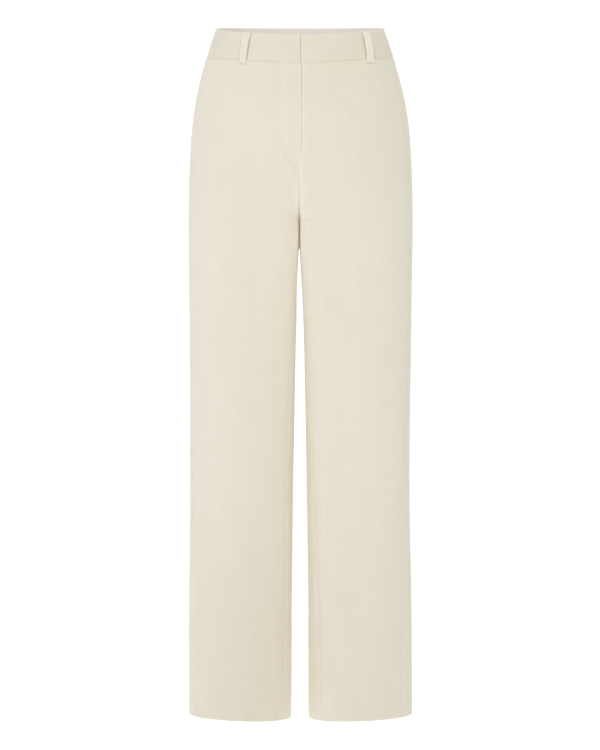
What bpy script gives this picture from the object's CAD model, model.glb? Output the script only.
"""Looks of the corduroy trousers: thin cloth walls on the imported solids, with seams, folds, stitches and cord.

Lengths are millimetres and angles degrees until a mesh is made. x, y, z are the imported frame's: the wearer faces
-y, so the wearer's left is +x. The rings and edges are the CAD's own formulas.
"""

import math

import bpy
import numpy as np
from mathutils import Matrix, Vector


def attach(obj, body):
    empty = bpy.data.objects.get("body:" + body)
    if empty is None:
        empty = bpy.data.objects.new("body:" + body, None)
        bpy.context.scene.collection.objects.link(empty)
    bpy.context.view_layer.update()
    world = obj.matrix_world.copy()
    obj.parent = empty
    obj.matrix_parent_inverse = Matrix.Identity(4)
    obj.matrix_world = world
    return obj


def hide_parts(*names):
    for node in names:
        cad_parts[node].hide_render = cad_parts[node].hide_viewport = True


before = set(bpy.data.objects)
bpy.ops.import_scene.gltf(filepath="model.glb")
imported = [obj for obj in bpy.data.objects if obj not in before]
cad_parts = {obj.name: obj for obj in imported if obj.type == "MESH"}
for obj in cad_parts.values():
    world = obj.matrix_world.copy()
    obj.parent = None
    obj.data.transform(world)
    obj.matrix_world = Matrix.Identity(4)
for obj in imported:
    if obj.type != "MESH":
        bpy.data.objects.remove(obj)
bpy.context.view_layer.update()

MM = 0.001

# ---- the form's sizes ----
SEAM_GAP = 0.3
CLOTH, HEM_CLOTH, HEM_DEPTH = 1.3, 2.6, 38.0
BAND_PROUD, BAND_INSIDE = 0.5, 1.9
CROTCH_Z, RISE_START_Z = -276.0, -70.0
FRONT_CURVE, BACK_CURVE, CROTCH_ROUND, CROTCH_SOFT = 4.6, 3.1, 1.45, 0.05
CORNER_PAST, CORNER_BLEND, CORNER_FULL = math.radians(158), math.radians(8), math.radians(24)
LEG_TOUCH_Z, LEG_TOUCH = -308.0, 0.4
TOP_SIDE, TOP_TILT, TOP_BOW = 22.4, 17.5, -4.9
SEAM_SIDE, SEAM_TILT, SEAM_BOW, SEAM_FADE = -20.0, 17.0, -2.6, 150.0
HEM_Z, HEM_SIDE_RISE, HEM_BACK_DROP = -1022.0, 3.0, 1.0
FLY_END_Z, FLY_FADE, FLY_LAP = -166.0, 30.0, 2.35
BAND_LAP, UNDERLAP_REACH, UNDERLAP_STEP = 0.4, 30.0, 3.6
UNDERLAP_FROM, UNDERLAP_TO = 1.7, 0.4  # the underlap's step, just behind the right end
SIDE_SPLIT_Z = -292.0
HALF_WIDTH = (  # height, half width
    (-1030, 168.7),
    (-844, 168.5),
    (-738, 167.2),
    (-586, 167.2),
    (-434, 168.7),
    (-312, 170.2),
    (-221, 170.2),
    (-160, 167.6),
    (-114, 163.4),
    (-69, 155.0),
    (-38, 146.7),
    (-8, 136.8),
    (22, 126.2),
    (36, 121.6),
)
DEPTH = (  # height, front, back
    (-1030, -80, 85),
    (-740, -87, 93.5),
    (-540, -93.5, 102),
    (-390, -100, 111.5),
    (-278, -104.5, 123),
    (-190, -107, 132),
    (-110, -109, 127),
    (-42, -104, 114),
    (0, -98, 104),
    (36, -97, 96),
)
SQUARENESS = (  # height, outer side, inner side
    (-1030, 2.15, 2.15),
    (-900, 2.17, 2.60),
    (-800, 2.17, 3.10),
    (-620, 2.20, 3.90),
    (-400, 2.30, 5.60),
    (-300, 2.30, 7.20),
    (-240, 2.28, 6.00),
    (-190, 2.25, 3.40),
    (-130, 2.20, 2.30),
    (-60, 2.15, 2.15),
    (36, 2.08, 2.08),
)
SIDE_SEAM = (  # height, wearer's right, wearer's left
    (-1030, 30, 38),
    (-740, 28, 36),
    (-550, 27, 31),
    (-400, 28, 26),
    (-260, 28, 23),
    (-100, 23, 19),
    (-22, 16, 14),
    (36, 5, 5),
)
INSEAM = (  # height, wearer's right, wearer's left
    (-1030, 28.0, 38.0),
    (-900, 33.0, 40.6),
    (-740, 38.7, 40.4),
    (-620, 41.5, 39.6),
    (-540, 43.0, 40.0),
    (-480, 42.0, 38.0),
    (-400, 29.0, 28.0),
    (-340, 22.0, 24.0),
    (-276, 21.0, 24.0),
)
INSEAM_FADE = 110.0
LOOP_WIDTH, LOOP_CLOTH, LOOP_STAND = 11.4, 2.0, 2.4
LOOP_TOP_INSET, LOOP_BELOW_SEAM = 0.2, 5.0
LOOP_PRESSED = {"belt_loop_front_left": 1.12}  # this one lies a little wider
LOOPS = (  # name, X at the top, X at the bottom, on the back
    ("belt_loop_front_right", -77.7, -85.0, False),
    ("belt_loop_front_left", 97.4, 104.8, False),
    ("belt_loop_back_right", -66.0, -69.0, True),
    ("belt_loop_back_centre", 0.0, 0.0, True),
    ("belt_loop_back_left", 66.0, 69.0, True),
)
ZIP_TOP, ZIP_BOTTOM, ZIP_LEFT, ZIP_RIGHT, ZIP_CLOTH = -45.0, -164.0, 9.0, -19.0, 0.9
LAP_TOP, LAP_BOTTOM, LAP_LEFT, LAP_RIGHT, LAP_CLOTH = -43.0, -180.0, 14.0, -26.0, 2.2
LAP_CLEAR = 0.4
SLIDER_ROOM, SLIDER_ROOM_END, SLIDER_ROOM_FADE = 2.6, -88.0, 26.0

# ---- the looks' sizes ----
WALE = 1.6  # pitch of the cord
GRAIN_X = 88.0  # the panels' grain line, from the centre plane
EDGE_ROLL = 0.55  # how far a sewn edge turns in at its seam
SEAM_VALLEY, SEAM_VALLEY_WIDTH = 0.5, 4.2
CREAM = (0.790, 0.746, 0.622)


# ---- the form ----
def spline(table, column):
    x = np.array([row[0] for row in table], float)
    y = np.array([row[column] for row in table], float)
    h = np.diff(x)
    n = len(x)
    a = np.eye(n)
    b = np.zeros(n)
    for i in range(1, n - 1):
        a[i, i - 1 : i + 2] = h[i - 1], 2 * (h[i - 1] + h[i]), h[i]
        b[i] = 6 * ((y[i + 1] - y[i]) / h[i] - (y[i] - y[i - 1]) / h[i - 1])
    m = np.linalg.solve(a, b)

    def at(z):
        z = np.clip(np.asarray(z, float), x[0], x[-1])
        i = np.clip(np.searchsorted(x, z) - 1, 0, n - 2)
        p, q, w = z - x[i], x[i + 1] - z, h[i]
        return (
            (m[i] * q**3 + m[i + 1] * p**3) / (6 * w)
            + (y[i] / w - m[i] * w / 6) * q
            + (y[i + 1] / w - m[i + 1] * w / 6) * p
        )

    return at


half_width = spline(HALF_WIDTH, 1)
front_y, back_y = spline(DEPTH, 1), spline(DEPTH, 2)
outer_power, inner_power = spline(SQUARENESS, 1), spline(SQUARENESS, 2)
side_angle = {-1: spline(SIDE_SEAM, 1), 1: spline(SIDE_SEAM, 2)}
inseam_angle = {-1: spline(INSEAM, 1), 1: spline(INSEAM, 2)}


def smooth(t):
    t = np.clip(t, 0.0, 1.0)
    return t * t * (3 - 2 * t)


def inner_reach(z, curve):
    half = SEAM_GAP / 2
    t = np.clip((RISE_START_Z - z) / (RISE_START_Z - CROTCH_Z), 0, 1)
    late = (1 + CROTCH_SOFT) ** (2 - CROTCH_ROUND) / (1 - t + CROTCH_SOFT) ** (2 - CROTCH_ROUND)
    r = (1 - (1 - t) ** 2 * late) ** curve
    above = -half_width(z) * (1 - r) / (1 + r) + half * r
    down = np.clip(CROTCH_Z - z, 0, None)
    part = 8.0 * np.logaddexp(0, (LEG_TOUCH_Z - z) / 8.0)
    below = half + (LEG_TOUCH - half) * (1 - np.exp(-down / 10.0))
    below = below + 7.3 * (1 - np.exp(-part / 110.0)) + 0.008 * part
    return np.where(z >= CROTCH_Z, above, below)


def ring(z, front):
    w = half_width(z)
    reach = np.where(front, inner_reach(z, FRONT_CURVE), inner_reach(z, BACK_CURVE))
    f, b = front_y(z), back_y(z)
    return (w + reach) / 2, (f + b) / 2, (w - reach) / 2, (b - f) / 2


def surface(phi, z):
    phi, z = np.broadcast_arrays(np.asarray(phi, float), np.asarray(z, float))
    c, s = np.cos(phi), np.sin(phi)
    cx, cy, a, b = ring(z, s < 0)
    n = np.where(c > 0, outer_power(z), inner_power(z))
    rho = (np.abs(c) ** n + np.abs(s) ** n) ** (-1 / n)
    return np.stack([cx + a * rho * c, cy + b * rho * s, z], -1)


def normal(phi, z):
    d, e = 1e-3, 0.2
    across = surface(phi + d, z) - surface(phi - d, z)
    up = surface(phi, z + e) - surface(phi, z - e)
    n = np.cross(across, up)
    return n / np.linalg.norm(n, axis=-1, keepdims=True)


def gap_angle(phi, z):
    d = 1e-3
    step = surface(phi + d, z) - surface(phi - d, z)
    return SEAM_GAP / 2 / (np.linalg.norm(step, axis=-1) / (2 * d))


def angle_at(x, z, front):
    cx, _, a, _ = ring(z, front)
    xi = np.clip((x - cx) / a, -1, 1)
    n = np.where(xi > 0, outer_power(z), inner_power(z))
    eta = np.clip(1 - np.abs(xi) ** n, 0, None) ** (1 / n)
    return np.arctan2(eta, xi)


def inseam(side, z):
    forward = inseam_angle[side](z) * (1 - np.exp(-np.clip(CROTCH_Z - z, 0, None) / INSEAM_FADE))
    return math.pi - np.radians(forward)


def centre_edge(side, z):
    return SEAM_GAP / 2 + side * FLY_LAP * smooth((z - FLY_END_Z + FLY_FADE) / FLY_FADE)


def top_line(phi):
    s = np.sin(phi)
    return TOP_SIDE + TOP_TILT * s + TOP_BOW * s * s


def seam_line(phi):
    s = np.sin(phi)
    dip = (-1.3 * np.exp(-((np.cos(phi) / 0.17) ** 2)) - 1.2 * np.exp(-((np.cos(phi) / 0.58) ** 2))) * (s < 0)
    return SEAM_SIDE + SEAM_TILT * s + SEAM_BOW * s * s + dip


def hem_line(phi):
    return HEM_Z + HEM_SIDE_RISE * np.cos(phi) - HEM_BACK_DROP * np.sin(phi)


def tilted(level, phi):
    top = np.clip(1 - (SEAM_SIDE - level) / SEAM_FADE, 0, 1) ** 1.5
    low = np.clip(1 - (level - HEM_Z) / SEAM_FADE, 0, 1)
    return level + (seam_line(phi) - SEAM_SIDE) * top + (hem_line(phi) - HEM_Z) * low


# ---- soft noise and creases ----
def basis(f):
    return (
        (1 - f) ** 3 / 6,
        (3 * f**3 - 6 * f**2 + 4) / 6,
        (-3 * f**3 + 3 * f**2 + 3 * f + 1) / 6,
        f**3 / 6,
    )


def ripple(u, v, seed):
    """Smooth noise of about -1 to 1, one bump a unit."""
    u, v = np.broadcast_arrays(np.asarray(u, float), np.asarray(v, float))
    grid = np.random.default_rng(seed).uniform(-1, 1, (97, 89))
    i, j = np.floor(u).astype(int), np.floor(v).astype(int)
    a, b = basis(u - i), basis(v - j)
    out = 0.0
    for k in range(4):
        for m in range(4):
            out = out + a[k] * b[m] * grid[(i + k) % 97, (j + m) % 89]
    return 2.4 * out


def crease(x, z, path, depth, width, shoulder=0.4, lean=0.0, fade=0.35):
    """A soft trough along a path of (x, z), fading out at both ends. A negative depth is a ridge. It leans to the
    path's left as lean goes up to 1, which makes that side steeper."""
    out = np.zeros(np.shape(x))
    path = np.array(path, float)
    reach = 4.0 * width
    near = (
        (x > path[:, 0].min() - reach)
        & (x < path[:, 0].max() + reach)
        & (z > path[:, 1].min() - reach)
        & (z < path[:, 1].max() + reach)
    )
    if not near.any():
        return out
    run = np.concatenate([[0], np.cumsum(np.linalg.norm(np.diff(path, axis=0), axis=1))])
    fine = np.linspace(0, run[-1], 28)
    if len(path) > 2:
        px = spline(list(zip(run, path[:, 0])), 1)(fine)
        pz = spline(list(zip(run, path[:, 1])), 1)(fine)
    else:
        px, pz = np.interp(fine, run, path[:, 0]), np.interp(fine, run, path[:, 1])
    p = np.stack([x[near], z[near]], -1)[:, None, :]
    a = np.stack([px[:-1], pz[:-1]], -1)[None]
    step = np.stack([np.diff(px), np.diff(pz)], -1)[None]
    t = np.clip(((p - a) * step).sum(-1) / (step**2).sum(-1), 0, 1)
    off = p - (a + t[..., None] * step)
    far = np.linalg.norm(off, axis=-1)
    k = far.argmin(1)
    row = np.arange(len(k))
    along = (k + t[row, k]) / (len(fine) - 1)
    sign = np.sign(step[0, k, 0] * off[row, k, 1] - step[0, k, 1] * off[row, k, 0])
    w = width * (1 - lean * 0.5 * sign)
    d = far[row, k] / w
    shape = np.exp(-(d**2)) - shoulder * np.exp(-(((d - 1.9) / 0.85) ** 2))
    out[near] = -depth * shape * smooth(along / fade) * smooth((1 - along) / fade)
    return out


# Creases on the front, seen from the front: trough depth, width and path of (x, z). Negative depths are ridges.
FRONT_CREASES = (
    # beside the fly's end
    (-0.75, 3.6, ((7.0, -184), (11.0, -168), (19.5, -139))),
    (0.55, 4.0, ((13.5, -186), (18.5, -168), (27.0, -146))),
    # across the wearer's left front, below the loop
    (1.15, 9.0, ((47, -82), (66, -93), (92, -109))),
    (-0.55, 13.0, ((40, -108), (60, -116), (84, -134))),
    (0.6, 10.0, ((118, -66), (130, -90), (141, -128), (150, -190))),
    # fainter ones on the wearer's right front
    (0.5, 10.0, ((-112, -62), (-124, -92), (-136, -140))),
    (0.35, 9.0, ((-40, -98), (-58, -108), (-80, -128))),
    # at the crotch, short and soft
    (0.9, 6.0, ((6, -252), (24, -246), (50, -254))),
    (0.8, 6.0, ((-6, -256), (-22, -252), (-46, -262))),
    (0.6, 7.0, ((8, -286), (26, -292), (44, -306))),
    (0.5, 7.0, ((-8, -290), (-24, -300), (-40, -318))),
    # the wearer's left thigh, by the inseam
    (-0.75, 5.5, ((12, -386), (30, -380), (56, -372))),
    (0.9, 6.0, ((14, -412), (34, -414), (56, -404))),
    # the wearer's right leg, below the thigh
    (0.85, 5.0, ((-60, -428), (-46, -438), (-34, -456), (-33, -480))),
    (-0.5, 6.5, ((-46, -424), (-30, -436), (-20, -456))),
    # the wearer's left leg, by the knee
    (-0.5, 3.6, ((25.3, -512), (25.5, -534), (25.0, -556))),
    (0.5, 4.5, ((33, -508), (33.5, -536), (32, -566))),
    # the wearer's right shin
    (-0.6, 4.0, ((-45.5, -790), (-43, -808), (-39.5, -828))),
    (0.75, 6.0, ((-79, -838), (-73, -856), (-64, -880))),
    (-0.6, 6.0, ((-76, -892), (-65, -892), (-54, -884))),
    (0.35, 7.0, ((-96, -900), (-78, -908), (-58, -904))),
    # the wearer's left shin
    (-0.5, 5.5, ((31, -860), (35, -890), (40, -918))),
    (0.45, 4.0, ((33, -952), (36, -974), (39, -1000))),
    (0.35, 4.5, ((45, -944), (49, -962), (52, -986))),
    # along the outer sides
    (0.7, 6.0, ((150, -700), (151.5, -720), (150, -742))),
    (0.6, 5.0, ((158, -882), (159, -896), (157, -912))),
    (0.6, 6.0, ((152, -966), (153, -984), (150, -1002))),
    (0.5, 7.0, ((-153, -560), (-154, -600), (-152, -640))),
)
# The back, seen from the front too, so its wearer's left is at +x. It is slacker under the seat.
BACK_CREASES = (
    (1.0, 9.0, ((10, -262), (40, -276), (86, -272))),
    (0.9, 9.0, ((-9, -258), (-44, -274), (-92, -266))),
    (0.8, 8.0, ((14, -300), (44, -318), (84, -318))),
    (0.9, 9.0, ((-12, -292), (-40, -312), (-78, -314))),
    (0.6, 7.0, ((16, -340), (40, -360), (66, -368))),
    (0.5, 8.0, ((-14, -346), (-36, -372), (-64, -384))),
    (0.6, 10.0, ((52, -70), (74, -94), (104, -112))),
    (0.5, 11.0, ((-48, -78), (-76, -98), (-110, -124))),
    (0.45, 12.0, ((128, -80), (140, -120), (150, -180))),
    (0.5, 11.0, ((-126, -92), (-140, -136), (-149, -196))),
    (0.7, 9.0, ((30, -556), (58, -572), (96, -566))),
    (0.6, 8.0, ((44, -600), (70, -606), (92, -596))),
    (0.65, 9.0, ((-34, -548), (-66, -560), (-104, -548))),
    (0.5, 7.0, ((-48, -588), (-72, -598), (-98, -592))),
    (0.5, 8.0, ((122, -520), (138, -560), (142, -606))),
    (0.45, 8.0, ((-120, -612), (-136, -650), (-140, -694))),
    (0.6, 8.0, ((60, -820), (74, -846), (80, -884))),
    (0.5, 7.0, ((-86, -790), (-76, -820), (-72, -852))),
    (0.5, 8.0, ((-44, -880), (-62, -900), (-88, -904))),
    (0.5, 7.0, ((104, -900), (118, -930), (122, -968))),
)


def relief(side, phi, z, point, n):
    """How far the cloth stands out from its smooth form, in itself."""
    x, y = side * point[..., 0], point[..., 1]
    front, back = smooth((-n[..., 1] - 0.02) / 0.35), smooth((n[..., 1] - 0.02) / 0.35)
    out = np.zeros(x.shape)
    for depth, width, path in FRONT_CREASES:
        out = out + front * crease(x, z, path, depth, width)
    for depth, width, path in BACK_CREASES:
        out = out + back * crease(x, z, path, depth, width)
    # long slow waves down the legs, and slighter cross ones, all round
    turn = x / 46.0 + y / 61.0
    slow = smooth((SEAM_SIDE - z) / 90.0)
    out = out + slow * 0.75 * ripple(turn + 11, z / 210.0 + 5, 3)
    out = out + slow * 0.28 * ripple(x / 27.0 - y / 33.0 + 31, z / 95.0 + 17, 5)
    out = out + slow * 0.07 * ripple(x / 9.0 + y / 10.0 + 51, z / 16.0 + 71, 7)
    return out


def seam_relief(d, along, seed, valley=SEAM_VALLEY, width=SEAM_VALLEY_WIDTH, pucker=0.28, roll=EDGE_ROLL):
    """The roll of a sewn edge d millimetres off, the shallow valley beside it and the puckers across it."""
    roll = -roll * np.exp(-((d / 1.0) ** 1.6))
    dip = -valley * np.exp(-((d / width) ** 2))
    swell = 0.3 * np.exp(-(((d - 2.4 * width) / (1.3 * width)) ** 2))
    reach = 7.0 + 4.0 * ripple(along / 41.0, 2.5, seed + 40)
    short = ripple(along / 8.5, 0.5, seed) * (0.55 + 0.45 * ripple(along / 47.0, 7.5, seed + 20))
    return roll + dip + swell + pucker * short * np.exp(-((d / reach) ** 2)) * smooth(d / 1.5)


# ---- meshes ----
def spaced(marks):
    """Stations from a table of (from, step): the step holds until the next row."""
    out = []
    for (start, step), (end, _) in zip(marks, marks[1:]):
        count = max(1, round((end - start) / step))
        out.extend(start + (end - start) * np.arange(count) / count)
    return np.array(out + [marks[-1][0]])


def add_uv(mesh, name, values):
    layer = mesh.uv_layers.new(name=name)
    layer.uv.foreach_set("vector", values.astype(np.float32).ravel())


def grid_mesh(name, outer, inner, cut, worn=None, shift=(0.0, 0.0), deep=None, slots=(0, 1, 0)):
    """A wall between two grids whose first axis runs down the piece. cut holds (s, t) in millimetres, along the
    piece's cross and long grain. slots are the materials of the outer side, the inner side and the rim."""
    rows, columns = outer.shape[:2]
    count = rows * columns
    points = np.concatenate([outer.reshape(-1, 3), inner.reshape(-1, 3)]) * MM
    at = np.arange(count).reshape(rows, columns)
    a, b, c, d = at[:-1, :-1], at[1:, :-1], at[1:, 1:], at[:-1, 1:]
    out = np.stack([a, b, c, d], -1).reshape(-1, 4)
    into = np.stack([a, d, c, b], -1).reshape(-1, 4) + count
    edge = np.concatenate([at[0, :-1], at[:-1, -1], at[-1, :0:-1], at[:0:-1, 0]])
    after = np.roll(edge, -1)
    rim = np.stack([edge, after, after + count, edge + count], -1)
    faces = np.concatenate([out, into, rim])
    # outward: the outer grid's faces must agree with its own normals
    p = points[out[len(out) // 2]]
    facing = np.cross(p[2] - p[0], p[3] - p[1])
    away = p.mean(0) - points[into[len(into) // 2]].mean(0)
    if facing @ away < 0:
        faces = faces[:, ::-1]
    mesh = bpy.data.meshes.new(name)
    mesh.vertices.add(len(points))
    mesh.vertices.foreach_set("co", points.astype(np.float32).ravel())
    mesh.loops.add(faces.size)
    mesh.loops.foreach_set("vertex_index", faces.astype(np.int32).ravel())
    mesh.polygons.add(len(faces))
    mesh.polygons.foreach_set("loop_start", np.arange(0, faces.size, 4, dtype=np.int32))
    mesh.update(calc_edges=True)
    mesh.validate()
    flat = np.concatenate([cut.reshape(-1, 2)] * 2) * MM + np.array(shift)
    add_uv(mesh, "Cut", flat[faces.ravel()])
    # the bake's map: the outer side, the inner side, and the rim in a strip above both
    u = (cut[..., 0] - cut[..., 0].min()) / np.ptp(cut[..., 0])
    v = (cut[..., 1] - cut[..., 1].min()) / np.ptp(cut[..., 1])
    sheet = np.stack([u, v], -1).reshape(-1, 2)
    bake = np.concatenate([sheet * [0.488, 0.95] + [0.004, 0.004], sheet * [0.488, 0.95] + [0.508, 0.004]])
    bake = bake[faces]
    k = np.arange(len(rim)) / len(rim) * 0.99 + 0.005
    k1 = k + 0.99 / len(rim)
    strip = np.stack(
        [np.stack([k, k * 0 + 0.968], -1), np.stack([k1, k * 0 + 0.968], -1)]
        + [np.stack([k1, k * 0 + 0.992], -1), np.stack([k, k * 0 + 0.992], -1)],
        1,
    )
    if facing @ away < 0:
        strip = strip[:, ::-1]
    bake[-len(rim) :] = strip
    add_uv(mesh, "OFBake", bake.reshape(-1, 2))
    mesh.uv_layers.active = mesh.uv_layers["Cut"]
    for title, values in (("wear", worn), ("deep", deep)):
        if values is not None:
            layer = mesh.attributes.new(title, "FLOAT", "POINT")
            layer.data.foreach_set("value", np.tile(values.ravel(), 2).astype(np.float32))
    index = np.repeat(np.array(slots, np.int32), (len(out), len(into), len(rim)))
    mesh.polygons.foreach_set("material_index", index)
    mesh.shade_smooth()
    mesh.set_sharp_from_angle(angle=math.radians(58))
    made = bpy.data.objects.new(name, mesh)
    bpy.context.scene.collection.objects.link(made)
    return made


def measure(point):
    """(s, t) of each grid point: millimetres along its row from the first column, and down its column."""
    s = np.zeros(point.shape[:2])
    s[:, 1:] = np.cumsum(np.linalg.norm(np.diff(point, axis=1), axis=-1), 1)
    t = np.zeros(point.shape[:2])
    t[1:] = np.cumsum(np.linalg.norm(np.diff(point, axis=0), axis=-1), 0)
    return s, t


def to_line(points, line):
    """How far each point is from a polyline, and where along it the nearest place is."""
    a, step = line[:-1], np.diff(line, axis=0)
    size = (step**2).sum(-1)
    run = np.concatenate([[0], np.cumsum(np.sqrt(size))])
    size = np.maximum(size, 1e-12)
    d, at = np.empty(len(points)), np.empty(len(points))
    for k in range(0, len(points), 2500):
        off = points[k : k + 2500, None] - a[None]
        t = np.clip((off * step).sum(-1) / size, 0, 1)
        far = ((off - t[..., None] * step) ** 2).sum(-1)
        i = far.argmin(1)
        row = np.arange(len(i))
        d[k : k + 2500] = np.sqrt(far[row, i])
        at[k : k + 2500] = run[i] + t[row, i] * (run[i + 1] - run[i])
    return d, at, run


def round_edge(d, thick):
    """How far a folded edge of cloth this thick turns in, d millimetres from its end."""
    r = thick / 2
    k = np.clip(1 - d / r, 0, 1)
    return r * (1 - np.sqrt(np.clip(1 - k * k, 0, 1)))


# ---- leg panels ----
FOLD_Z = HEM_Z + HEM_DEPTH


def panel_levels():
    rise = spaced([(0.0, 0.003), (0.018, 0.006), (0.05, 0.0112), (0.84, 0.008), (1.0, 0)])
    side = SEAM_SIDE + (SIDE_SPLIT_Z - SEAM_SIDE) * rise[:-1]
    centre = SEAM_SIDE + (CROTCH_Z - SEAM_SIDE) * (1 - (1 - rise[:-1]) ** 1.7)
    leg = spaced([(0.0, 0.0034), (0.08, 0.0046), (1.0, 0)])
    level = FOLD_Z + 3
    side = np.concatenate([side, SIDE_SPLIT_Z + (level - SIDE_SPLIT_Z) * leg])
    leg = 0.45 * leg**1.6 + 0.55 * leg
    centre = np.concatenate([centre, CROTCH_Z + (level - CROTCH_Z) * leg])
    hem = spaced([(0.0, 0.7), (4.2, 2.6), (35.0, 1.2), (39.4, 0.4), (41.0, 0)])[1:]
    side = np.concatenate([side, level - hem])
    centre = np.concatenate([centre, level - hem])
    return side, centre


def spread(begin, end, u):
    """Angles across a panel at shares u of its width. Past the leg's inner corner only the last columns follow the
    inner edge, which turns in quickly under the crotch."""
    way = -1 if end.max() < 0 else 1
    reach = way * end
    over = np.clip(reach - math.pi, 0, None)
    even = CORNER_PAST - CORNER_BLEND * np.logaddexp(0, (CORNER_PAST - reach + over) / CORNER_BLEND) + over
    even = even + (reach - even) * smooth(over / CORNER_FULL)
    last = np.clip((u - 0.91) / 0.09, 0, 1) ** 2
    return begin + (way * even - begin) * u + way * (reach - even) * last


def leg_panel(side, front):
    level_side, level_centre = panel_levels()
    wide = 210.0 if front else 290.0
    step = 2.45 if front else 2.75
    u = spaced([(0.0, 0.5), (3.0, 1.1), (9.0, step), (wide - 9.0, 1.1), (wide - 3.0, 0.5), (wide, 0)]) / wide
    u = u[None, :]
    level = level_side[:, None] * (1 - u**2) + level_centre[:, None] * u**2
    z = level.copy()
    for _ in range(8):
        start = -np.radians(side_angle[side](z))
        gap = gap_angle(start, z)
        turn = inseam(side, z)
        if front:
            begin = start - gap
            cut = angle_at(centre_edge(side, z), z, True)
            end = -np.minimum(cut, turn - gap_angle(-turn, z))
        else:
            begin = start + gap
            cut = angle_at(SEAM_GAP / 2, z, False)
            past = 2 * math.pi - turn - gap_angle(-turn, z)
            end = np.where(z >= CROTCH_Z, np.minimum(cut, past), past)
        phi = spread(begin, end, u)
        z = tilted(level, phi)
        z[0] -= 0.05
    point, n = surface(phi, z), normal(phi, z)
    s, t = measure(point)
    to_side, to_inner = s, s[:, -1:] - s
    inner_run = t[:, -1:] + np.zeros_like(s)
    near = (to_inner < 55) | ((point[..., 0] < 50) & (z > -345) & (z < -225))
    to_inner[near], inner_run[near], run = to_line(point[near], point[:, -1])
    to_top, to_hem = t, t[-1:] - t

    out = relief(side, phi, z, point, n)
    along = -z
    side_seed, inner_seed, hem_seed = 200 + side, 220 + side, 240 + side
    out = out + seam_relief(to_side, along, side_seed)
    # the centre seam deepens down to the crotch. The fly's edge only rounds over
    rise = level_centre[:, None] > CROTCH_Z + 0.01
    crotch = run[int((level_centre > CROTCH_Z + 0.01).sum())]
    at_rise = np.exp(-np.clip(inner_run - crotch, 0, None) / 14.0)
    in_fly = smooth((z - FLY_END_Z + 4) / 8.0) if front else np.zeros_like(z)
    deep = 0.32 + 0.1 * smooth((-205 - z) / 60.0) if front else SEAM_VALLEY + 0.9 * smooth((-215 - z) / 60.0)
    deep = deep * at_rise + (0.8 + 0.6 * smooth((z + 460) / 180.0)) * (1 - at_rise)
    inner_sewn = seam_relief(to_inner, inner_run, inner_seed, valley=deep, width=4.6)
    centre_sewn = seam_relief(to_inner, inner_run, 230, valley=deep, width=3.0)
    sewn = inner_sewn + (centre_sewn - inner_sewn) * at_rise
    edge = -round_edge(to_inner, 1.6) - 0.15 * np.exp(-((to_inner - 5.0) / 2.2) ** 2)
    if side > 0:
        edge = -1.0 * np.exp(-((to_inner / 1.15) ** 1.6)) - 0.5 * np.exp(-((to_inner / 3.0) ** 2))
    out = out + np.where(in_fly > 0, in_fly * edge + (1 - in_fly) * sewn, sewn)
    # the waist seam, and the slight gathering under it
    out = out + seam_relief(to_top, s * (1 if front else 1.07) + 300 * (side > 0), 260, valley=0.20, width=2.6, pucker=0.14, roll=0.34)
    # the hem: the blind stitches' shallow line, puckers below it, and the fold at the end
    blind = HEM_DEPTH - 1.5
    prick = 0.75 + 0.25 * np.cos(s / 7.0 * 2 * math.pi)
    out = out - 0.32 * prick * np.exp(-(((to_hem - blind) / 1.7) ** 2))
    out = out + 0.16 * ripple(s / 9.0, to_hem / 30.0, hem_seed) * smooth(to_hem / 6.0) * smooth((44 - to_hem) / 8.0)
    out = out + 0.25 * ripple(s / 34.0, 3.5, hem_seed + 3) * smooth((70 - to_hem) / 60.0)
    if front and side < 0:
        out = out + fly_stitch_relief(point, n, side)
    if not front:
        out = out + dart_relief(side, point)
    thick = CLOTH + (HEM_CLOTH - CLOTH) * smooth((HEM_DEPTH + 0.6 - to_hem) / 1.2)
    roll = round_edge(to_hem, HEM_CLOTH)
    # by the centre seam the cloth only moves within the seam's plane, so that both halves stay together
    hold = np.exp(-((to_inner / 6.0) ** 2)) * at_rise * (1 - in_fly)
    # and where the legs touch, they keep touching
    touch = np.exp(-((np.clip(point[..., 0] - 0.4, 0, None) / 5.0) ** 2)) * smooth((-235 - z) / 30.0)
    hold = np.maximum(hold, touch)
    way = n.copy()
    way[..., 0] *= 1 - hold
    outer = point + way * (out - roll)[..., None]
    inner = outer - n * (thick - 2 * roll)[..., None]
    above = level_centre > CROTCH_Z + 0.5
    inner[above, -1, 0] = outer[above, -1, 0]
    # the slit between the legs leans a little to the wearer's right in front. Where the legs touch it bends the other
    # way further in, so that nothing shows through it
    sway = -1.2 * smooth((-195 - z) / 60.0) * smooth((z + 450) / 110.0)
    bend = 4.2 * smooth((-215 - z) / 25.0) * smooth((z + 313.0) / 9.0) * smooth((point[..., 1] + 75) / 60.0)
    sway = side * (sway + bend) * np.exp(-((point[..., 0] / 42.0) ** 2))
    for grid in (outer, inner):
        if not front or side > 0:
            grid[..., 0] = np.where(rise, np.maximum(grid[..., 0], SEAM_GAP / 2), grid[..., 0])
        grid[..., 0] += sway
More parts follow.
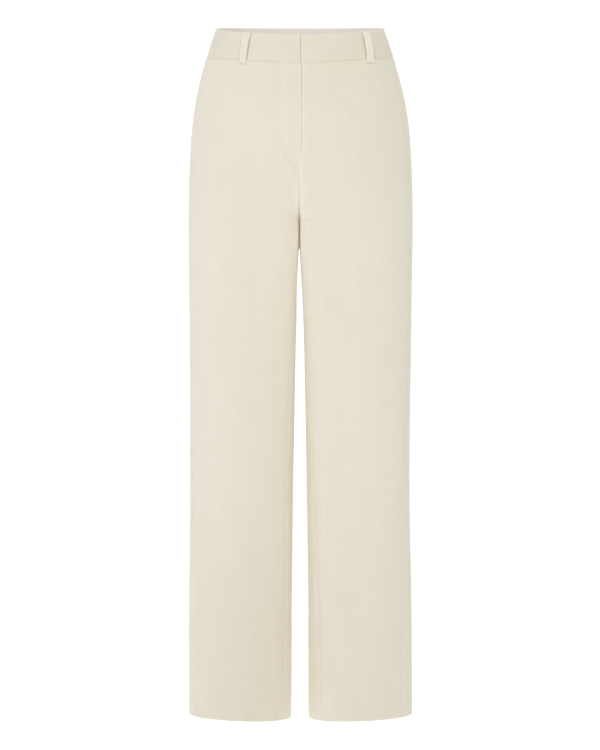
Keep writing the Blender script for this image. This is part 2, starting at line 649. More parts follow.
    # the grain runs straight down at the panel's own grain line
    grain = np.array([np.interp(-GRAIN_X, -line[:, 0], run) if line[0, 0] > line[-1, 0] and line[-1, 0] < GRAIN_X else run[len(run) // 2] for line, run in zip(point, s)])
    cut = np.stack([s - grain[:, None], -z], -1)
    seam_wear = np.exp(-((to_side - 1.6) / 1.5) ** 2) + np.exp(-((to_inner - 1.6) / 1.5) ** 2)
    seam_wear = np.clip(seam_wear + 0.8 * np.exp(-((to_hem - 1.0) / 1.6) ** 2), 0, 1)
    if front:  # it is rubbed lighter beside the slit, too
        beside = 1.2 * np.exp(-(((point[..., 0] - 4.5) / 3.6) ** 2)) + (0.8 if side > 0 else 0.3) * np.exp(-(((point[..., 0] - 1.6) / 0.9) ** 2))
        seam_wear = seam_wear + beside * smooth((-205 - z) / 30.0) * smooth((z + 420) / 100.0)
        knee = 1.0 if side > 0 else smooth((point[..., 0] - 70) / 50.0)
        seam_wear = seam_wear + 0.6 * knee * np.exp(-(((z + 595) / 165.0) ** 2))
        outside = smooth((point[..., 0] - 95) / 40.0) * smooth((-120 - z) / 80.0) * smooth((z + 480) / 100.0)
        seam_wear = seam_wear + 0.45 * outside
    if front and side < 0:  # the nap lies smoother along the fly's stitching
        stitched = smooth((z + 186) / 16.0) * np.exp(-(((point[..., 0] - 25.2) / 4.4) ** 2))
        seam_wear = seam_wear + 0.35 * stitched
    # the nap lies darker deep in the seams and in the slit between the legs
    slit = smooth((-188 - z) / 120.0) * smooth((z + 336) / 22.0)
    deep_in = 0.85 * slit * np.exp(-((np.clip(point[..., 0] - 0.15, 0, None) / 0.9) ** 2)) * (n[..., 1] < 0.1)
    deep_in = deep_in + 0.16 * np.exp(-((to_side / 0.7) ** 2))
    if front:  # the shade below the belt loop's end
        x_end = abs(LOOPS[0 if side < 0 else 1][2])
        below = seam_line(phi) - LOOP_BELOW_SEAM - 1.1
        ends = np.exp(-(((z - below) / 0.8) ** 2)) * smooth((LOOP_WIDTH / 2 + 0.6 - np.abs(point[..., 0] - x_end)) / 1.2)
        deep_in = deep_in + 0.42 * ends
        foot = seam_line(phi) - z
        broken = np.clip(0.10 + 0.10 * ripple(point[..., 0] / 15.0, side * 3.0, 61), 0, None)
        deep_in = deep_in + broken * np.exp(-(((foot - 0.4) / 0.9) ** 2))
        # and the nap is a little deeper in tone below the waistband, and at one hem
        deep_in = deep_in + 0.068 * np.exp(-(((side * point[..., 0] - 5) / 90.0) ** 2)) * smooth((z + 150) / 80.0)
        if side < 0:
            deep_in = deep_in + 0.06 * np.exp(-(((point[..., 0] - 77) / 77.0) ** 2)) * smooth((-640 - z) / 260.0)
    if side > 0:
        deep_in = deep_in + 0.32 * in_fly * np.exp(-((to_inner / 0.9) ** 2))
    deep_in = np.clip(deep_in, 0, 1)
    flip = np.array([side, 1, 1])
    place, hand = ("front" if front else "back"), ("left" if side > 0 else "right")
    node = f"{place}_{hand}"
    shift = (0.137 * (side + 2), 0.011 + 0.23 * front)
    made = grid_mesh(f"cloth_{node}", outer * flip, inner * flip, cut, seam_wear, shift, deep_in)
    made.data.materials.append(cord)
    made.data.materials.append(cord_back)
    return made, node, s[:, -1], t[-1, :], float(area(point))


def area(point):
    a, b = point[1:, :-1] - point[:-1, :-1], point[:-1, 1:] - point[:-1, :-1]
    return np.linalg.norm(np.cross(a, b), axis=-1).sum() * MM * MM


# ---- the fly's stitching, on the wearer's right front ----
FLY_STITCH = (  # x, z, from the waist seam down and round to the centre seam
    (-27.0, -46.0),
    (-27.2, -80.0),
    (-27.2, -120.0),
    (-26.4, -160.0),
    (-23.0, -178.5),
    (-15.5, -191.0),
    (-6.5, -198.5),
    (-0.6, -203.0),
)


def near_line(x, z, line):
    """Distance to a polyline."""
    line = np.array(line, float)
    p = np.stack([x, z], -1)[..., None, :]
    a, step = line[:-1], np.diff(line, axis=0)
    t = np.clip(((p - a) * step).sum(-1) / (step**2).sum(-1), 0, 1)
    return np.linalg.norm(p - (a + t[..., None] * step), axis=-1).min(-1)


def dense(line, step):
    """A smooth curve through points, as points about step apart."""
    line = np.array(line, float)
    run = np.concatenate([[0], np.cumsum(np.linalg.norm(np.diff(line, axis=0), axis=1))])
    fine = np.linspace(0, run[-1], max(2, round(run[-1] / step) + 1))
    return np.stack([spline([(r, v) for r, v in zip(run, line[:, k])], 1)(fine) for k in range(line.shape[1])], -1)


def fly_stitch_relief(point, n, side):
    x, z = side * point[..., 0], point[..., 2]
    near = (x > -45) & (x < 12) & (z > -222) & (z < -30) & (n[..., 1] < 0)
    out = np.zeros(x.shape)
    if near.any():
        d = near_line(x[near], z[near], dense(FLY_STITCH, 4.0))
        inside = smooth((x[near] + 27) / 6.0) * smooth((z[near] + 200) / 10.0)
        low = smooth((-160 - z[near]) / 20.0)
        out[near] = -(0.70 + 0.55 * low) * np.exp(-((d / 1.25) ** 2))
        out[near] += 0.22 * np.exp(-(((d - 4.0) / 2.8) ** 2)) + 0.30 * inside
    return out


# ---- the back's darts ----
DARTS = {-1: ((-70.0, -18.0), (-66.0, -60.0), (-63.0, -104.0)), 1: ((71.0, -18.0), (67.0, -60.0), (64.0, -102.0))}


def dart_relief(side, point):
    x, z = side * point[..., 0], point[..., 2]
    line = dense(DARTS[side], 5.0)
    near = (np.abs(x - line[:, 0].mean()) < 40) & (z > -150)
    out = np.zeros(x.shape)
    if near.any():
        d = near_line(x[near], z[near], line)
        end = np.hypot(x[near] - line[-1, 0], z[near] - line[-1, 1] - 4)
        fade = smooth((z[near] - line[-1, 1] + 2) / 26.0)
        out[near] = -fade * (0.8 * np.exp(-((d / 0.9) ** 2)) + 0.25 * np.exp(-((d / 4.5) ** 2))) - 0.4 * np.exp(-((end / 7.0) ** 2))
    return out


# ---- waistband ----
def band_grid(phi_of, rows=26):
    shares = spaced([(0.0, 0.008), (0.05, 0.045), (0.9, 0.02), (0.96, 0.008), (1.0, 0)])
    phis, zs = [], []
    for share in shares:
        z = 0.0
        for _ in range(8):
            phi = phi_of(z)
            z = top_line(phi) * (1 - share) + (seam_line(phi) + 0.05) * share
        phis.append(phi)
        zs.append(z)
    phi, z = np.array(phis), np.array(zs)
    return phi, z, surface(phi, z), normal(phi, z)


def side_start(side, z, way):
    start = -np.radians(side_angle[side](z))
    return start + way * gap_angle(start, z)


def by_loop(x, z, place):
    """How deep in the shade of a belt loop the band lies: 1 below it, fading past its edges, further towards the
    centre."""
    _, x_top, x_bottom, _ = LOOPS[place]
    middle = abs(x_top) + (abs(x_bottom) - abs(x_top)) * (4.0 - z) / 46.0
    off = np.abs(x) - middle
    half = LOOP_WIDTH / 2
    low = smooth((2.0 - z) / 10.0)  # lower down it also shows past the outer edge, which stands off to that side
    inward, outward = -off - half + 0.9, off - half + 0.9 - (3.0, 4.8)[place] * low
    past = np.where(off < 0, inward / 0.9, outward / 0.6)
    return np.exp(-(np.clip(past, 0, None) ** 2))


def band_relief(x, y, s, t, ends):
    """The waistband's own swell, its folded top and the seam at its foot."""
    low = t[-1:] - t
    out = 0.35 * np.sin(np.clip(t / t[-1:], 0, 1) * math.pi)
    out = out - 0.40 * np.exp(-((low / 1.0) ** 1.6)) - 0.15 * np.exp(-((low / 3.0) ** 2))
    out = out + 0.13 * ripple(x / 13.0 + y / 15.0, t / 34.0, 91) + 0.22 * ripple(x / 38.0 + y / 41.0 + 9, t / 60.0 + 3, 93)
    out = out + 0.10 * ripple(s / 6.5, 1.5, 95) * np.exp(-((low / 7.0) ** 2)) * smooth(low / 2.0)
    for d in ends:
        out = out + seam_relief(d, t, 97, valley=0.3, width=2.6, pucker=0.1)
    return out


def waistband():
    made = []
    cols = spaced([(0.0, 0.5), (2.5, 1.2), (8.0, 2.1), (56.0, 0.75), (77.0, 2.1), (116.0, 1.1), (122.0, 0.35), (125.0, 0)]) / 125.0

    def right(z):
        z = z + np.zeros_like(cols)
        start, end = side_start(-1, z, -1), -angle_at(-BAND_LAP, z, True)
        return start + (end - start) * cols

    phi, z, point, n = band_grid(right)
    s, t = measure(point)
    to_end = s[:, -1:] - s
    out = band_relief(-point[..., 0], point[..., 1], s, t, [s])
    out = out + 0.25 * np.exp(-((to_end / 9.0) ** 2))
    roll = np.maximum(round_edge(t, 2.4), round_edge(to_end, 2.4))
    # the corner at the top is turned in a little
    outer = point + n * (BAND_PROUD + out - roll)[..., None]
    inner = point + n * (-BAND_INSIDE + out * 0.6 + roll)[..., None]
    corner = np.exp(-(to_end / 2.2) ** 2) * np.exp(-(t / 3.0) ** 2)
    for grid in (outer, inner):
        grid[..., 2] -= 1.1 * corner
    flip = np.array([-1, 1, 1])
    cut = np.stack([s, t], -1)
    wear = np.clip(np.exp(-((t - 0.8) / 1.2) ** 2) + np.exp(-((to_end - 0.8) / 1.2) ** 2), 0, 1)
    made.append(("waistband_front_right", grid_mesh("cloth_waistband_front_right", outer * flip, inner * flip, cut[..., ::-1], wear, (0.02, 0.6), 0.42 * by_loop(point[..., 0], point[..., 2], 0)), s, t, area(point)))

    near = np.array([7.5, 6.3, 5.2, 4.2, 3.3, 2.6, 2.1, 1.8, 1.6, 1.4, 1.2, 1.0, 0.8, 0.6, 0.4, 0.1, -1.0, -4.0, -8.0, -12.5, -17.0, -21.5, -25.0, -27.5, -29.0, -29.6, -UNDERLAP_REACH])
    lead = spaced([(0.0, 0.5), (2.5, 1.2), (8.0, 2.1), (33.0, 0.75), (55.0, 2.1), (112.0, 0)]) / 112.0

    def left(z):
        z = z + np.zeros(len(lead) + len(near))
        start, end = side_start(1, z, -1)[: len(lead)], -angle_at(9.0, z, True)[: len(lead)]
        return np.concatenate([start + (end - start) * lead, -angle_at(near, z[: len(near)], True)])

    phi, z, point, n = band_grid(left)
    s, t = measure(point)
    x = point[..., 0]
    step = smooth((UNDERLAP_FROM - x) / (UNDERLAP_FROM - UNDERLAP_TO))
    hidden = smooth((2.0 - x) / 4.0)
    to_end = s[:, -1:] - s
    out = band_relief(point[..., 0], point[..., 1], s + 160, t, [s]) * (1 - hidden)
    roll = np.maximum(round_edge(t, 2.2), round_edge(to_end, 2.0))
    outer = point + n * (BAND_PROUD + out - roll - UNDERLAP_STEP * step)[..., None]
    inner = point + n * (-BAND_INSIDE + out * 0.6 + roll * 0.9 - (UNDERLAP_STEP - 0.4) * step)[..., None]
    wear = np.clip(np.exp(-((t - 0.8) / 1.2) ** 2), 0, 1)
    cut = np.stack([s, t], -1)
    shade = 0.36 * by_loop(x, point[..., 2], 1) + 0.16 * np.exp(-(((x - 0.8) / 0.7) ** 2))
    made.append(("waistband_front_left", grid_mesh("cloth_waistband_front_left", outer, inner, cut[..., ::-1], wear, (0.11, 0.9), shade), s, t, area(point)))

    w = spaced([(0.0, 0.5), (2.5, 1.2), (8.0, 2.3), (200.0, 0)]) / 200.0
    halves = []
    for side in (1, -1):

        def back(z, side=side):
            z = z + np.zeros_like(w)
            start = side_start(side, z, 1)
            return start + (math.pi / 2 - start) * w

        phi, z, point, n = band_grid(back)
        flip = np.array([side, 1, 1])
        halves.append((point * flip, n * flip))
    point = np.concatenate([halves[0][0], halves[1][0][:, -2::-1]], 1)
    n = np.concatenate([halves[0][1], halves[1][1][:, -2::-1]], 1)
    s, t = measure(point)
    out = band_relief(point[..., 0], point[..., 1], s + 400, t, [s, s[:, -1:] - s])
    roll = round_edge(t, 2.4)
    outer = point + n * (BAND_PROUD + out - roll)[..., None]
    inner = point + n * (-BAND_INSIDE + out * 0.6 + roll)[..., None]
    wear = np.clip(np.exp(-((t - 0.8) / 1.2) ** 2), 0, 1)
    cut = np.stack([s, t], -1)
    made.append(("waistband_back", grid_mesh("cloth_waistband_back", outer, inner, cut[..., ::-1], wear, (0.23, 1.3)), s, t, area(point)))
    return made


# ---- belt loops ----
def belt_loop(name, x_top, x_bottom, back):
    side = -1 if x_top < 0 else 1
    s = spaced([(0.0, 0.012), (0.05, 0.022), (0.95, 0.012), (1.0, 0)])[:, None]
    x = abs(x_top) + (abs(x_bottom) - abs(x_top)) * s
    z = np.zeros_like(x)
    for _ in range(8):
        phi = angle_at(x, z, not back) * (1 if back else -1)
        high = top_line(phi) - LOOP_TOP_INSET
        z = high + (seam_line(phi) - LOOP_BELOW_SEAM - high) * s
    d = 1e-3
    run = np.linalg.norm(surface(phi + d, z) - surface(phi - d, z), axis=-1) / (2 * d)
    v = spaced([(-1.0, 0.045), (-0.8, 0.13), (0.8, 0.045), (1.0, 0)])[None, :]
    wide = LOOP_WIDTH * LOOP_PRESSED.get(name, 1.0)
    phi = phi + v * wide / 2 / run
    z = z + np.zeros_like(phi)
    stand = smooth((s - 0.08) / 0.22) * smooth((0.93 - s) / 0.22)
    low = BAND_PROUD + SEAM_GAP + 0.35 + LOOP_STAND * stand + np.zeros_like(phi)
    point, n = surface(phi, z), normal(phi, z)
    along, across = measure(point)[::-1]
    edge = (1 - np.abs(v)) * wide / 2 + np.zeros_like(along)
    end = np.minimum(along, along[-1:] - along)
    crown = 0.28 * np.cos(v * math.pi / 2)
    sewn = -0.3 * np.exp(-(((edge - 2.3) / 0.7) ** 2))
    pressed = -0.35 * smooth((5.5 - end) / 3.5)
    roll = np.maximum(round_edge(edge, 1.9), round_edge(end, 1.9))
    wobble = 0.10 * ripple(along / 9.0, v * 1.4 + 4, 300 + int(abs(x_top)))
    outer = point + n * (low + LOOP_CLOTH + crown + sewn + pressed + wobble - roll)[..., None]
    inner = point + n * (low + 0.15 * crown + roll * 0.9)[..., None]
    flip = np.array([side, 1, 1])
    cut = np.stack([across, along], -1)
    wear = np.clip(np.exp(-((edge - 0.7) / 0.9) ** 2) + np.exp(-((end - 0.7) / 0.9) ** 2), 0, 1)
    tone = {"belt_loop_front_right": 0.05, "belt_loop_front_left": 0.0}.get(name)
    tone = None if tone is None else tone + 0.05 * s + np.zeros_like(along)
    made = grid_mesh(f"cloth_{name}", outer * flip, inner * flip, cut, wear, (0.31 + abs(x_top) * 0.003, 0.2), tone, (0, 0, 1))
    # the bar tacks that hold both ends
    tack = []
    for row in (3.0, float(along[-1, 0]) - 3.4):
        i = int(np.abs(along[:, 0] - row).argmin())
        path, up = outer[i] * flip, n[i] * flip
        keep = slice(2, -2)
        tack.append((path[keep], up[keep]))
    return made, tack, float(along[-1, 0]), area(point)


# ---- thread ----
def thread_mesh(name, runs, radius, sides=5):
    """Short closed stitches. Each run gives the two ends, the way up at both and how high the middle stands."""
    points, faces = [], []
    ring_at = np.array([0.0, 0.12, 0.5, 0.88, 1.0])
    size = np.array([0.35, 0.85, 1.0, 0.85, 0.35])
    turn = np.arange(sides) / sides * 2 * math.pi
    for a, b, up, lift in runs:
        a, b, up = np.array(a, float), np.array(b, float), np.array(up, float)
        way = b - a
        way /= np.linalg.norm(way)
        across = np.cross(way, up)
        across /= np.linalg.norm(across)
        high = np.cross(across, way)
        base = len(points)
        for q, r in zip(ring_at, size):
            middle = a + (b - a) * q + high * lift * math.sin(math.pi * q) - high * radius * 0.9 * (q in (0.0, 1.0))
            for w in turn:
                points.append(middle + radius * r * (across * math.cos(w) + high * math.sin(w) * 0.8))
        for i in range(len(ring_at) - 1):
            for j in range(sides):
                k = (j + 1) % sides
                faces.append((base + i * sides + j, base + i * sides + k, base + (i + 1) * sides + k, base + (i + 1) * sides + j))
        faces.append(tuple(base + j for j in range(sides))[::-1])
        last = base + (len(ring_at) - 1) * sides
        faces.append(tuple(last + j for j in range(sides)))
    mesh = bpy.data.meshes.new(name)
    mesh.from_pydata([tuple(p * MM) for p in points], [], faces)
    mesh.update()
    mesh.shade_smooth()
    made = bpy.data.objects.new(name, mesh)
    bpy.context.scene.collection.objects.link(made)
    made.data.materials.append(thread)
    return made


def on_front(side, x, z, lift):
    """A point on the front's outer face, and its normal, at a signed X."""
    x, z = np.asarray(x, float), np.asarray(z, float)
    phi = -angle_at(side * x, z, True)
    p, n = surface(phi, z), normal(phi, z)
    flip = np.array([side, 1, 1])
    return p * flip + n * flip * lift, n * flip


def stitch_runs(points, normals, length, gap, lift):
    """Cuts a dense path into stitches."""
    run = np.concatenate([[0], np.cumsum(np.linalg.norm(np.diff(points, axis=0), axis=1))])
    runs, at = [], gap / 2
    while at + length < run[-1]:
        a = np.array([np.interp(at, run, points[:, k]) for k in range(3)])
        b = np.array([np.interp(at + length, run, points[:, k]) for k in range(3)])
        up = np.array([np.interp(at + length / 2, run, normals[:, k]) for k in range(3)])
        runs.append((a, b, up, lift))
        at += length + gap
    return runs


# ---- behind the fly ----
def behind(x, z, depth):
    x, z, depth = np.broadcast_arrays(np.asarray(x, float), np.asarray(z, float), np.asarray(depth, float))
    phi = -angle_at(np.abs(x), z, True)
    point, n = surface(phi, z), normal(phi, z)
    sign = np.sign(x)
    point[..., 0] = x
    n[..., 0] *= sign
    return point - n * depth[..., None]


def room(z):
    return SLIDER_ROOM * smooth((z - SLIDER_ROOM_END + SLIDER_ROOM_FADE) / SLIDER_ROOM_FADE)


def fly_inside():
    t = spaced([(0.0, 0.008), (0.04, 0.02), (0.96, 0.008), (1.0, 0)])[:, None]
    u = spaced([(-1.0, 0.04), (-0.9, 0.09), (0.9, 0.04), (1.0, 0)])[None, :]
    z = LAP_TOP + (LAP_BOTTOM - LAP_TOP) * t - 6.0 * t**4 * (1 - u**2)
    narrow = 1.0 - 0.28 * smooth((t - 0.82) / 0.14)
    x = (LAP_LEFT + LAP_RIGHT) / 2 + (LAP_LEFT - LAP_RIGHT) / 2 * u * narrow
    x = np.where(np.abs(x) < 1e-6, 1e-6, x)
    depth = CLOTH + LAP_CLEAR + ZIP_CLOTH + SEAM_GAP + 0.1 + room(z)
    base = behind(x, z, depth)
    s, down = measure(base)
    edge = np.minimum(np.minimum(s, s[:, -1:] - s), np.minimum(down, down[-1:] - down))
    roll = round_edge(edge, LAP_CLOTH)
    swell = 0.15 * ripple(s / 14.0, down / 30.0, 411)
    outer = behind(x, z, depth + roll)
    inner = behind(x, z, depth + LAP_CLOTH - roll + np.clip(swell, -0.1, 0.25))
    cut = np.stack([s, down], -1)
    lap = grid_mesh("cloth_fly_underlap", outer, inner, cut, np.clip(np.exp(-((edge - 0.8) / 1.2) ** 2), 0, 1), (0.4, 0.7))
    lap.data.materials.append(cord)
    lap.data.materials.append(cord)

    # the zip: two tapes with the closed coil between, all inside the strip's thickness
    tapes = []
    middle, half = (ZIP_LEFT + ZIP_RIGHT) / 2, 1.7
    for name, x0, x1 in (("zip_tape_left", ZIP_LEFT - 0.2, middle + half), ("zip_tape_right", middle - half, ZIP_RIGHT + 0.2)):
        z = np.linspace(ZIP_TOP - 0.2, ZIP_BOTTOM + 0.2, 60)[:, None]
        x = np.linspace(x0, x1, 10)[None, :]
        depth = CLOTH + LAP_CLEAR + room(z) + 0.12 + 0 * x
        outer, inner = behind(x, z, depth), behind(x, z, depth + 0.55)
        s, down = measure(outer)
        tape = grid_mesh(name, outer, inner, np.stack([s, down], -1), None, (0.5, 0.5), slots=(0, 0, 0))
        tape.data.materials.append(tape_cloth)
        tapes.append(tape)
    teeth = []
    for k, z in enumerate(np.arange(ZIP_TOP - 2.0, ZIP_BOTTOM + 2.0, -0.95)):
        way = 1 if k % 2 else -1
        depth = CLOTH + LAP_CLEAR + float(room(z)) + 0.45
        a = behind(middle - 1.55 * way, z + 0.1, depth)
        b = behind(middle + 0.9 * way, z - 0.1, depth)
        teeth.append((a, b, np.array([0.0, -1.0, 0.0]), 0.05))
    coil = thread_mesh("zip_coil", teeth, 0.34, 6)
    coil.data.materials.clear()
    coil.data.materials.append(nylon)
    return lap, tapes, coil


# ---- materials ----
class Nodes:
    """A small helper that adds and joins shader nodes."""

    def __init__(self, name):
        self.made = bpy.data.materials.new(name)
        self.made.use_nodes = True
        self.tree = self.made.node_tree
        self.shader = self.tree.nodes["Principled BSDF"]

    def add(self, kind, **settings):
        node = self.tree.nodes.new(kind)
        for key, value in settings.items():
            setattr(node, key, value)
        return node

    def feed(self, socket, value):
        if isinstance(value, bpy.types.NodeSocket):
            self.tree.links.new(value, socket)
        else:
            socket.default_value = value

    def math(self, kind, a, b=0.0, c=0.0):
        node = self.add("ShaderNodeMath", operation=kind)
        for socket, value in zip(node.inputs, (a, b, c)):
            self.feed(socket, value)
        return node.outputs[0]

    def scaled(self, vector, x, y, z=1.0):
        node = self.add("ShaderNodeVectorMath", operation="MULTIPLY")
        self.feed(node.inputs[0], vector)
        node.inputs[1].default_value = (x, y, z)
        return node.outputs[0]

    def noise(self, vector, scale, detail=2.0, rough=0.5):
        node = self.add("ShaderNodeTexNoise")
        self.feed(node.inputs["Vector"], vector)
        node.inputs["Scale"].default_value = scale
        node.inputs["Detail"].default_value = detail
        node.inputs["Roughness"].default_value = rough
        return node.outputs["Fac"]

    def set(self, **values):
        for key, value in values.items():
            self.shader.inputs[key.replace("_", " ")].default_value = value


def cloth_material(name, colour, wale, across=False, sheen=0.55, rib=0.00022, groove=0.055):
    """Cut-pile cord: rounded wales with a soft nap, over colour that wanders along them."""
    m = Nodes(name)
    uv = m.add("ShaderNodeUVMap", uv_map="Cut").outputs["UV"]
    split = m.add("ShaderNodeSeparateXYZ")
    m.feed(split.inputs[0], uv)
    s, t = split.outputs[0], split.outputs[1]
    wander = m.noise(m.scaled(uv, 14.0, 3.0), 1.0, 1.0)
    w = m.math("ADD", m.math("MULTIPLY", s, 1.0 / (wale * MM)), m.math("MULTIPLY", wander, 0.9))
    wave = m.math("COSINE", m.math("MULTIPLY", w, 2 * math.pi))
    ribs = m.math("POWER", m.math("MULTIPLY_ADD", wave, 0.5, 0.5), 0.65)
    each = m.add("ShaderNodeTexWhiteNoise", noise_dimensions="1D")
    m.feed(each.inputs["W"], m.math("FLOOR", m.math("ADD", w, 0.5)))
    pile = m.noise(m.scaled(uv, 3400.0, 1500.0), 1.0, 2.0, 0.6)
    tuft = m.noise(m.scaled(uv, 620.0, 260.0), 1.0, 2.0, 0.6)
    streak = m.noise(m.scaled(uv, 240.0, 9.0), 1.0, 2.0, 0.6)
    mottle = m.noise(m.scaled(uv, 34.0, 22.0), 1.0, 3.0, 0.55)
    worn = m.add("ShaderNodeAttribute", attribute_name="wear").outputs["Fac"]
    # brightness round 1
    b = m.math("MULTIPLY_ADD", ribs, groove, 1.0 - groove * 0.78)
    b = m.math("ADD", b, m.math("MULTIPLY_ADD", each.outputs["Value"], 0.012, -0.006))
    b = m.math("ADD", b, m.math("MULTIPLY_ADD", streak, 0.018, -0.009))
    b = m.math("ADD", b, m.math("MULTIPLY_ADD", mottle, 0.036, -0.018))
    b = m.math("ADD", b, m.math("MULTIPLY_ADD", tuft, 0.016, -0.008))
    b = m.math("ADD", b, m.math("MULTIPLY", worn, 0.035))
    tint = m.add("ShaderNodeMix", data_type="RGBA")
    m.feed(tint.inputs["Factor"], m.math("MULTIPLY_ADD", mottle, 0.9, 0.05))
    warm = tuple(c * k for c, k in zip(colour, (1.004, 0.996, 0.975)))
    cool = tuple(c * k for c, k in zip(colour, (0.996, 1.003, 1.022)))
    tint.inputs["A"].default_value = (*warm, 1)
    tint.inputs["B"].default_value = (*cool, 1)
    shade = m.add("ShaderNodeMix", data_type="RGBA", blend_type="MULTIPLY")
    shade.inputs["Factor"].default_value = 1.0
    m.feed(shade.inputs["A"], tint.outputs["Result"])
    grey = m.add("ShaderNodeCombineColor")
    for k in range(2):
        m.feed(grey.inputs[k], b)
    m.feed(grey.inputs[2], m.math("ADD", b, m.math("MULTIPLY", worn, 0.04)))
    m.feed(shade.inputs["B"], grey.outputs[0])
    deep = m.add("ShaderNodeMix", data_type="RGBA", blend_type="MULTIPLY")
    m.feed(deep.inputs["Factor"], m.add("ShaderNodeAttribute", attribute_name="deep").outputs["Fac"])
    m.feed(deep.inputs["A"], shade.outputs["Result"])
    deep.inputs["B"].default_value = (0.60, 0.46, 0.34, 1)
    m.feed(m.shader.inputs["Base Color"], deep.outputs["Result"])
    m.feed(m.shader.inputs["Roughness"], m.math("MULTIPLY_ADD", tuft, 0.10, 0.84))
    height = m.math("ADD", m.math("MULTIPLY", ribs, rib), m.math("MULTIPLY", pile, 0.00005))
    height = m.math("ADD", height, m.math("MULTIPLY", tuft, 0.00006))
    bump = m.add("ShaderNodeBump")
    bump.inputs["Strength"].default_value = 0.8
    bump.inputs["Distance"].default_value = 1.0
    m.feed(bump.inputs["Height"], height)
    m.feed(m.shader.inputs["Normal"], bump.outputs["Normal"])
    m.set(Sheen_Weight=sheen, Sheen_Roughness=0.35, Sheen_Tint=(1.0, 0.965, 0.90, 1), Specular_IOR_Level=0.18)
    m.made.diffuse_color = (*colour, 1)
    return m.made


def thread_material(name, colour):
    m = Nodes(name)
    where = m.add("ShaderNodeTexCoord").outputs["Object"]
    twist = m.noise(m.scaled(where, 2600.0, 2600.0, 900.0), 1.0, 2.0)
    ramp = m.add("ShaderNodeMix", data_type="RGBA")
    m.feed(ramp.inputs["Factor"], twist)
    ramp.inputs["A"].default_value = (*(c * 0.90 for c in colour), 1)
    ramp.inputs["B"].default_value = (*(min(1, c * 1.06) for c in colour), 1)
    m.feed(m.shader.inputs["Base Color"], ramp.outputs["Result"])
    m.feed(m.shader.inputs["Roughness"], m.math("MULTIPLY_ADD", twist, 0.2, 0.5))
    bump = m.add("ShaderNodeBump")
    bump.inputs["Strength"].default_value = 0.5
    bump.inputs["Distance"].default_value = 0.0001
    m.feed(bump.inputs["Height"], twist)
    m.feed(m.shader.inputs["Normal"], bump.outputs["Normal"])
    m.set(Specular_IOR_Level=0.3, Sheen_Weight=0.1)
    return m.made


def tape_material(name, colour):
    m = Nodes(name)
    uv = m.add("ShaderNodeUVMap", uv_map="Cut").outputs["UV"]
    split = m.add("ShaderNodeSeparateXYZ")
    m.feed(split.inputs[0], uv)
    a = m.math("SINE", m.math("MULTIPLY", split.outputs[0], 2 * math.pi / 0.0009))
    b = m.math("SINE", m.math("MULTIPLY", split.outputs[1], 2 * math.pi / 0.0007))
    weave = m.math("MULTIPLY", a, b)
    grain = m.noise(m.scaled(uv, 900.0, 900.0), 1.0, 2.0)
    mix = m.add("ShaderNodeMix", data_type="RGBA")
    m.feed(mix.inputs["Factor"], m.math("MULTIPLY_ADD", weave, 0.3, m.math("MULTIPLY", grain, 0.8)))
    mix.inputs["A"].default_value = (*(c * 0.88 for c in colour), 1)
    mix.inputs["B"].default_value = (*colour, 1)
    m.feed(m.shader.inputs["Base Color"], mix.outputs["Result"])
    m.feed(m.shader.inputs["Roughness"], m.math("MULTIPLY_ADD", grain, 0.15, 0.6))
    bump = m.add("ShaderNodeBump")
    bump.inputs["Strength"].default_value = 0.6
    bump.inputs["Distance"].default_value = 0.0001
    m.feed(bump.inputs["Height"], weave)
    m.feed(m.shader.inputs["Normal"], bump.outputs["Normal"])
    m.set(Specular_IOR_Level=0.25)
    return m.made


def metal_material(name, colour):
    m = Nodes(name)
    where = m.add("ShaderNodeTexCoord").outputs["Object"]
    brushed = m.noise(m.scaled(where, 300.0, 300.0, 6000.0), 1.0, 2.0)
    smudge = m.noise(where, 260.0, 3.0)
    mix = m.add("ShaderNodeMix", data_type="RGBA")
    m.feed(mix.inputs["Factor"], smudge)
    mix.inputs["A"].default_value = (*(c * 0.88 for c in colour), 1)
    mix.inputs["B"].default_value = (*(min(1, c * 1.05) for c in colour), 1)
    m.feed(m.shader.inputs["Base Color"], mix.outputs["Result"])
    m.feed(m.shader.inputs["Roughness"], m.math("MULTIPLY_ADD", brushed, 0.18, 0.22))
    bump = m.add("ShaderNodeBump")
    bump.inputs["Strength"].default_value = 0.25
    bump.inputs["Distance"].default_value = 0.00005
    m.feed(bump.inputs["Height"], brushed)
    m.feed(m.shader.inputs["Normal"], bump.outputs["Normal"])
    m.set(Metallic=1.0)
    return m.made


cord = cloth_material("needlecord", CREAM, WALE)
cord_back = cloth_material("needlecord_back", (0.80, 0.765, 0.665), 0.8, sheen=0.15, rib=0.00004, groove=0.02)
loop_cord = cloth_material("needlecord_loops", (0.812, 0.776, 0.662), WALE)
pale_loop = cloth_material("needlecord_pale", (0.843, 0.803, 0.704), WALE)
fold_cord = cloth_material("needlecord_folds", (0.60, 0.50, 0.36), WALE)
band_cord = cloth_material("needlecord_band", tuple(c * k for c, k in zip(CREAM, (0.955, 0.950, 0.945))), WALE)
band_facing = cloth_material("needlecord_facing", (0.885, 0.865, 0.800), WALE, sheen=0.3)
thread = thread_material("thread", (0.78, 0.72, 0.58))
tape_cloth = tape_material("zip_tape", (0.76, 0.71, 0.60))
nylon = thread_material("nylon_coil", (0.74, 0.69, 0.58))
nickel = metal_material("nickel", (0.62, 0.60, 0.56))

